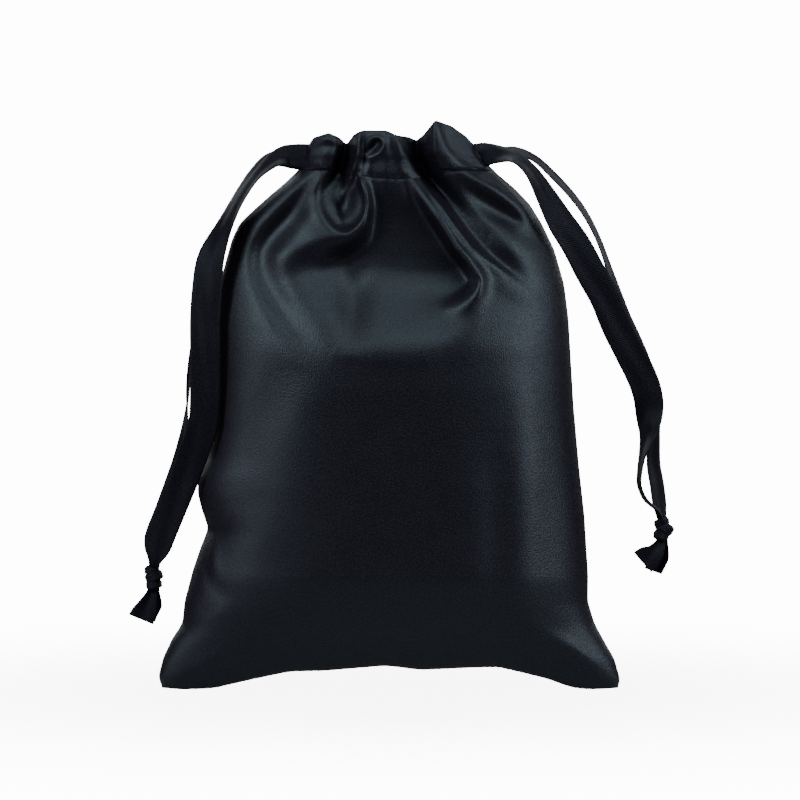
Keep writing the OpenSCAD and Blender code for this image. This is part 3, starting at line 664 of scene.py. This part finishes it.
# On its left it goes on below the pleat, whose foot has the height PLEAT_FOOT along X. On its right it ends
# at HOLLOW_RIGHT, against height.
PLEAT_FOOT = table([(-40, 137), (-28, 141), (-14, 144), (-8, 148), (-4, 152)], 2)
HOLLOW_RIGHT = table([
    (100, 26), (112, 28), (122, 29), (129, 28.6), (134, 25), (139, 21), (145, 17), (151, 12.8), (157, 9),
    (163, 6), (170, 4),
], 0.8)


def hollow(x, z):
    """How far the hollow takes the front cloth back at each (x, z), as a value below 0."""
    beside_pleat = smooth((x + 7.6) / 3)
    below_pleat = smooth((PLEAT_FOOT(x) - z) / 11)
    ramp = 4 + 10 * smooth((130 - z) / 10)
    inside = (1 - (1 - beside_pleat) * (1 - below_pleat)) * smooth((HOLLOW_RIGHT(z) - x) / ramp)
    return -HOLLOW(z - LEDGE(x)) * HOLLOW_SHARE(x) * inside


def crown(u):
    """The round of the belly from side seam (u = -1) to side seam (u = 1)."""
    return np.maximum(0, 1 - np.abs(u) ** 2.9) ** 0.6


def ripple(x, z, seed):
    """Slow unevenness, so that no part of the cloth is a perfect curve."""
    draw = np.random.default_rng(seed)
    total = np.zeros_like(x)
    for _ in range(14):
        turn, phase = draw.uniform(0, 2 * np.pi, 2)
        long = draw.uniform(16, 44)
        total += np.sin((x * np.cos(turn) + z * np.sin(turn)) * 2 * np.pi / long + phase) * long / 44
    return total / 14


def surface(share, height, lobes, folds, seed):
    """Depth in front of Y = 0 of the cloth at a share of its half width and a height."""
    left, right = LEFT_SIDE(height), RIGHT_SIDE(height)
    soft_left, soft_right = LEFT_MEAN(height), RIGHT_MEAN(height)
    x = (soft_right - soft_left) / 2 + share * (soft_right + soft_left) / 2
    x = (
        x
        - (left - soft_left) * smooth((-share - 0.62) / 0.38)
        + (right - soft_right) * smooth((share - 0.62) / 0.38)
    )
    near_casing = smooth((height - 140) / 22)
    in_neck = smooth((height - 118) / 30)
    side = np.maximum(0, 1 - share**6)
    round_part = DEPTH(height) * crown(share)
    foot = 9.5 * np.sqrt(np.maximum(0, 1 - np.abs(share) ** 8))
    depth = foot + (round_part - foot) * smooth(height / 38)
    depth = depth + near_casing * 2.8 * np.minimum(1, side * 3)
    at_casing = x * CASING_HALF_W / ((left + right) / 2)
    depth = depth + smooth((height - 148) / 16) * lobes(at_casing) * side
    depth = depth + fold_height(x, height, folds) * side * (1 - 0.35 * smooth((height - 158) / 6))
    if folds is FRONT_FOLDS:
        depth = depth + hollow(x, height)
    depth = depth + (0.35 + 0.5 * in_neck) * ripple(x, height, seed) * side * smooth(height / 20)
    least = 2.2 * near_casing * np.minimum(1, side * 3)
    # the cloth eases into its least depth instead of stopping dead there
    soft = 0.9 * least + 0.01
    eased = least + soft * np.exp((np.minimum(depth, least + soft) - least) / soft - 1)
    depth = np.where(depth < least + soft, eased, depth)
    slit = SLIT_Y * smooth((height - 165.6) / 2.6)
    return x, np.hypot(depth, slit)


COLUMNS = 241
BODY_ROWS, BASE_ROWS, CASING_ROWS, HEM_ROWS = 180, 26, 30, 6
CASING_PUFF = 0.8
STITCH_PITCH = 2.6
# How far the ends of each casing stand from the side seams, so that the ribbons come out.
SLIT_Y = 3.2


def stitch_pucker(x):
    """The small waves that the row of stitches draws into the cloth."""
    return 0.12 * np.sin(x * 2 * np.pi / STITCH_PITCH) + 0.06 * np.sin(x * 2 * np.pi / 1.9)


def panel(name, facing, lobes, folds, seed):
    """One side of the pouch as a single cut of cloth.

    It goes up from the bottom seam, over the top edge and down inside to the hem that the stitches hold.
    facing is -1 for the front and 1 for the back.
    """
    s = np.linspace(-1, 1, COLUMNS)
    share = (0.55 * s + 0.45 * np.sin(np.pi / 2 * s))[None, :]
    left0, right0 = LEFT_SIDE(2.0), RIGHT_SIDE(2.0)
    base_x = (right0 - left0) / 2 + share * (right0 + left0) / 2
    floor = BASE(base_x)
    stitch_x = share * CASING_HALF_W
    stitch, top = STITCH(stitch_x), TOP(stitch_x)
    rows, flat = [], []

    # the rounded base, from the bottom seam out and up
    rise = 6 + 22 * crown(share)
    for a in np.linspace(0, np.pi / 2, BASE_ROWS, endpoint=False):
        z = floor + rise * (1 - np.cos(a)) ** 1.1
        x, depth = surface(share, z, lobes, folds, seed)
        tight = np.sin(a) ** 0.8
        x = x + (base_x - x) * (1 - tight) * 0.2
        rows.append((x, facing * depth * tight, z))
        flat.append(rise * a * 0.8)
    first = floor + rise

    # the body and the neck, up to the stitches
    for t in np.linspace(0, 1, BODY_ROWS, endpoint=False):
        z = first + (stitch - first) * t
        x, depth = surface(share, z, lobes, folds, seed)
        rows.append((x, facing * depth, z))
        flat.append(rise * 1.26 + (162 - 28) * t)

    # the casing's outer face, its top edge, its inner face and the hem
    pucker = stitch_pucker(stitch_x)
    around = np.concatenate([np.linspace(0, 1, CASING_ROWS), np.linspace(1, 0, CASING_ROWS)[1:]])
    for k, t in enumerate(around):
        outer = k < CASING_ROWS
        bend = np.sin(np.pi / 2 * t)
        z = stitch + (top - stitch) * bend
        x, depth = surface(share, z, lobes, folds, seed)
        puff = CASING_PUFF * np.maximum(0, 1 - np.abs(2 * bend**1.2 - 1) ** 2.4) ** 0.8
        near = np.exp(-(((z - stitch) / 0.9) ** 2))
        shift = puff if outer else -puff - 0.25
        rows.append((x, facing * np.maximum(0.35, depth - 0.3 * near + pucker * near + shift), z))
        flat.append(170 + (16 * t if outer else 32 - 16 * t))
    for t in np.linspace(0, 1, HEM_ROWS + 1)[1:]:
        z = stitch - 5 * t
        x, depth = surface(share, z, lobes, folds, seed)
        rows.append((x, facing * np.maximum(0.35, depth - 1.6 - 0.6 * t), z))
        flat.append(np.full_like(share, 203 + 5 * t)[0])
    points = np.stack([np.stack(np.broadcast_arrays(*r), -1).reshape(COLUMNS, 3) for r in rows])
    v = np.stack([np.broadcast_to(f, (1, COLUMNS))[0] for f in flat])
    uv = np.stack([np.broadcast_to(s * FLAT_W / 2, v.shape), v], -1)
    faces = grid_faces(len(rows), COLUMNS)
    if facing > 0:
        faces = faces[:, ::-1]
    return add_mesh(name, points.reshape(-1, 3), faces, SATIN, uv.reshape(-1, 2))


def open_with_mouth(piece):
    """Bake the piece's placement into its mesh."""
    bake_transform(piece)


def make_panels():
    for word, facing, lobes, folds, seed in (
        ("front", -1, LOBES, FRONT_FOLDS, 3), ("back", 1, BACK_LOBES, BACK_FOLDS, 8)
    ):
        piece = panel(f"{word}_cloth", facing, lobes, folds, seed)
        thicken(piece, CLOTH_T)
        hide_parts(f"{word}_panel", f"{word}_neck", f"{word}_casing",
                    f"{word}_left_shoulder", f"{word}_right_shoulder")
        open_with_mouth(piece)


make_panels()

# ---------------------------------------------------------------- seams, stitches, ribbons in the casing

SIDES = {"front": (-1, LOBES, FRONT_FOLDS, 3), "back": (1, BACK_LOBES, BACK_FOLDS, 8)}


def on_casing(word, share, height):
    """Points on the middle of a casing's cloth."""
    facing, lobes, folds, seed = SIDES[word]
    share, height = np.broadcast_arrays(np.asarray(share, float), np.asarray(height, float))
    x, depth = surface(share, height, lobes, folds, seed)
    return x, depth, facing


def make_stitching(word):
    """The row of stitches that closes a casing, which sinks into the cloth between its stitches."""
    shapes = []
    count = int(50 / STITCH_PITCH)
    for k in range(count):
        share = (np.linspace(0.12, 0.88, 7) + k - count / 2) * STITCH_PITCH / CASING_HALF_W
        z = STITCH(share * CASING_HALF_W)
        x, depth, facing = on_casing(word, share, z)
        rise = 0.16 * np.sin(np.linspace(0, np.pi, 7)) - 0.12
        y = facing * (depth - 0.3 + stitch_pucker(share * CASING_HALF_W) + rise)
        shapes.append(tube(np.stack([x, y, z], -1), 0.13))
    piece = join_shapes(f"{word}_stitches", shapes, THREAD)
    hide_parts(f"{word}_casing_stitching")
    open_with_mouth(piece)


def make_run(side, word):
    """A ribbon inside a casing, from one end to the other, bunched up with the cloth."""
    share, up = np.meshgrid(np.linspace(-0.985, 0.985, 70), np.linspace(-0.5, 0.5, 9))
    nearer = 0.28 if (side == "left") == (word == "front") else -0.28
    z = 167.4 + up * (RIBBON_W - 1.4)
    x, depth, facing = on_casing(word, share, z)
    y = facing * (depth - 0.12 + nearer)
    points = np.stack([x, y, z], -1).reshape(-1, 3)
    faces = grid_faces(*up.shape)
    uv = np.stack([up * RIBBON_W, share * 80], -1).reshape(-1, 2)
    if facing > 0:
        faces = faces[:, ::-1]
    piece = thicken(add_mesh(f"{side}_{word}_run", points, faces, RIBBON, uv), 0.2)
    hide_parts(f"{side}_ribbon_{word}_run")
    open_with_mouth(piece)


def make_turn(side):
    """Where a ribbon leaves one casing and turns back into the other, at the end away from its knot."""
    out = 1 if side == "left" else -1
    a, up = np.meshgrid(np.linspace(-np.pi / 2, np.pi / 2, 25), np.linspace(-0.5, 0.5, 9))
    reach = 1.5 - 0.5 * (2 * up) ** 2
    x = out * (25.9 + reach * np.cos(a) ** 0.7)
    y = 3.2 * np.sin(a)
    z = 167.6 + up * (RIBBON_W - 1.8) + 0.3 * np.sin(3 * a)
    points = np.stack([x, y, z], -1).reshape(-1, 3)
    faces = grid_faces(*up.shape)
    uv = np.stack([up * RIBBON_W, a * 3], -1).reshape(-1, 2)
    piece = thicken(add_mesh(f"{side}_turn", points, faces, RIBBON, uv), 0.25)
    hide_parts(f"{side}_ribbon_turn")
    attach(piece, "pouch")


ALLOWANCE_W = 5.0
ALLOWANCE_T = 0.7


def seam_line(where):
    """The line that a seam's allowance hangs from, and the way in from it."""
    if where == "bottom":
        x = np.linspace(-58, 58, 120)
        z = BASE(x) + 0.9
        return np.stack([x, 0 * x, z], -1), np.stack([0 * x, 0 * x, 1 + 0 * x], -1)
    z = np.linspace(28, 156, 130)
    out = -1 if where == "left" else 1
    x = out * ((LEFT_SIDE if where == "left" else RIGHT_SIDE)(z) - 0.9)
    return np.stack([x, 0 * x, z], -1), np.stack([-out + 0 * x, 0 * x, 0 * x], -1)


def make_allowance(where):
    """The cloths' two edges inside a seam, and the overlock's thread over them."""
    line, inward = seam_line(where)
    steps = np.arange(len(line))
    wavy = np.sin(steps / 4.0)
    across = np.linspace(0, 1, 6)[None, :, None]
    wave = 0.35 * wavy[:, None, None] * across * np.array([0, 1, 0])
    sheet = line[:, None] + inward[:, None] * across * ALLOWANCE_W + wave
    sheet[..., 1] -= ALLOWANCE_T / 2
    uv = np.stack(np.broadcast_arrays(across[..., 0] * ALLOWANCE_W, steps[:, None] * 1.0), -1).reshape(-1, 2)
    piece = add_mesh(f"{where}_allowance", sheet.reshape(-1, 3), grid_faces(len(line), 6), LINING, uv)
    thicken(piece, ALLOWANCE_T)
    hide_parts(f"{where}_seam_allowance")
    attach(piece, "pouch")
    # the overlock's thread goes over the raw edge and back
    t = np.linspace(0, len(line) - 1, 6 * len(line))
    edge = np.stack([np.interp(t, steps, line[:, k]) for k in range(3)], -1)
    inward = np.stack([np.interp(t, steps, inward[:, k]) for k in range(3)], -1)
    swing = t * 2 * np.pi / 1.7
    thread = edge + inward * (ALLOWANCE_W - 0.75 + 0.95 * np.cos(swing))[:, None]
    thread[:, 1] += 0.62 * np.sin(swing) + 0.35 * np.interp(t, steps, wavy)
    piece = join_shapes(f"{where}_overlock", [tube(thread, 0.16, 5)], THREAD)
    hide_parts(f"{where}_seam_overlock")
    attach(piece, "pouch")


for word in ("front", "back"):
    make_stitching(word)
    for side in ("left", "right"):
        make_run(side, word)
for side in ("left", "right"):
    make_turn(side)
for where in ("left", "right", "bottom"):
    make_allowance(where)

# ---------------------------------------------------------------- stage

def make_stage():
    """A pale floor that fades out, with a little gloss close to the pouch."""
    size = 6.0
    mesh = bpy.data.meshes.new("floor")
    corners = [(-size, -size, 0), (size, -size, 0), (size, size, 0), (-size, size, 0)]
    mesh.from_pydata(corners, [], [(0, 1, 2, 3)])
    floor = bpy.data.objects.new("floor", mesh)
    bpy.context.scene.collection.objects.link(floor)
    n = Nodes("pale_floor")
    where = n.add("ShaderNodeTexCoord").outputs["Object"]
    far = n.add("ShaderNodeVectorMath", operation="LENGTH")
    n.link(where, far.inputs[0])
    fade = n.add("ShaderNodeMapRange", interpolation_type="SMOOTHSTEP")
    fade.inputs["From Min"].default_value = 0.04
    fade.inputs["From Max"].default_value = 0.3
    n.link(far.outputs["Value"], fade.inputs["Value"])
    n.shader.inputs["Base Color"].default_value = (0.9, 0.9, 0.91, 1)
    n.shader.inputs["Roughness"].default_value = 0.12
    clear = n.add("ShaderNodeBsdfTransparent")
    mix = n.add("ShaderNodeMixShader")
    n.link(n.span(fade.outputs["Result"], 0.55, 1.0), mix.inputs["Fac"])
    n.link(n.shader.outputs["BSDF"], mix.inputs[1])
    n.link(clear.outputs["BSDF"], mix.inputs[2])
    n.link(mix.outputs["Shader"], n.tree.nodes["Material Output"].inputs["Surface"])
    mesh.materials.append(n.material)


def make_light(name, at, aim, wide, tall, power, colour):
    """A softbox at a place in metres, aimed at a point of the pouch."""
    data = bpy.data.lights.new(name, "AREA")
    data.shape, data.size, data.size_y = "RECTANGLE", wide, tall
    data.energy, data.color = power, colour
    light = bpy.data.objects.new(name, data)
    light.location = at
    light.rotation_euler = (Vector(aim) - Vector(at)).to_track_quat("-Z", "Y").to_euler()
    bpy.context.scene.collection.objects.link(light)


def make_world():
    """White where it is seen, and almost dark as a light."""
    world = bpy.data.worlds.new("studio")
    world.use_nodes = True
    bpy.context.scene.world = world
    tree = world.node_tree
    for node in list(tree.nodes):
        tree.nodes.remove(node)
    path = tree.nodes.new("ShaderNodeLightPath")
    seen, lit = tree.nodes.new("ShaderNodeBackground"), tree.nodes.new("ShaderNodeBackground")
    seen.inputs["Color"].default_value, seen.inputs["Strength"].default_value = (1, 1, 1, 1), 14.0
    lit.inputs["Color"].default_value, lit.inputs["Strength"].default_value = (1, 0.72, 1, 1), 0.035
    mix, out = tree.nodes.new("ShaderNodeMixShader"), tree.nodes.new("ShaderNodeOutputWorld")
    tree.links.new(path.outputs["Is Camera Ray"], mix.inputs["Fac"])
    tree.links.new(lit.outputs["Background"], mix.inputs[1])
    tree.links.new(seen.outputs["Background"], mix.inputs[2])
    tree.links.new(mix.outputs["Shader"], out.inputs["Surface"])


make_stage()
make_light("left_softbox", (-1.0, -0.75, 0.8), (0, 0, 0.1), 0.6, 0.6, 9.5, (0.8, 0.95, 1))
make_light("left_fill", (-1.25, -0.6, 0.1), (0, 0, 0.08), 0.4, 0.8, 2.5, (0.9, 0.85, 1))
make_light("right_softbox", (1.35, -0.6, 0.5), (0, 0, 0.09), 0.45, 1.1, 10, (0.84, 0.92, 1))
make_light("top_softbox", (0.1, -0.65, 1.15), (0, 0, 0.11), 0.9, 0.5, 4.8, (0.78, 0.96, 1))
make_light("right_top_softbox", (1.05, -0.8, 0.9), (0, 0, 0.12), 0.4, 0.4, 4, (0.76, 0.96, 1))
make_light("back_left_softbox", (-0.8, 1.3, 0.7), (0, 0, 0.1), 0.5, 0.9, 3, (0.86, 0.96, 1))
make_light("back_right_softbox", (0.9, 1.3, 0.7), (0, 0, 0.1), 0.5, 0.9, 3, (0.86, 0.96, 1))
make_light("back_top_softbox", (0, 0.75, 1.2), (0, 0, 0.12), 0.8, 0.4, 6, (0.86, 0.96, 1))
make_world()

# ---------------------------------------------------------------- CAD pieces that stay in view

def finish_cad_nodes():
    looks = {"thread": THREAD, "ribbon": RIBBON, "satin_inside": LINING, "satin": SATIN}
    slots = {part["node"]: part["material_slot"] for part in frame["record"]["subparts"]}
    for name, node in frame["nodes"].items():
        if node.hide_render:
            continue
        node.data.materials.clear()
        node.data.materials.append(looks[slots[name]])


finish_cad_nodes()
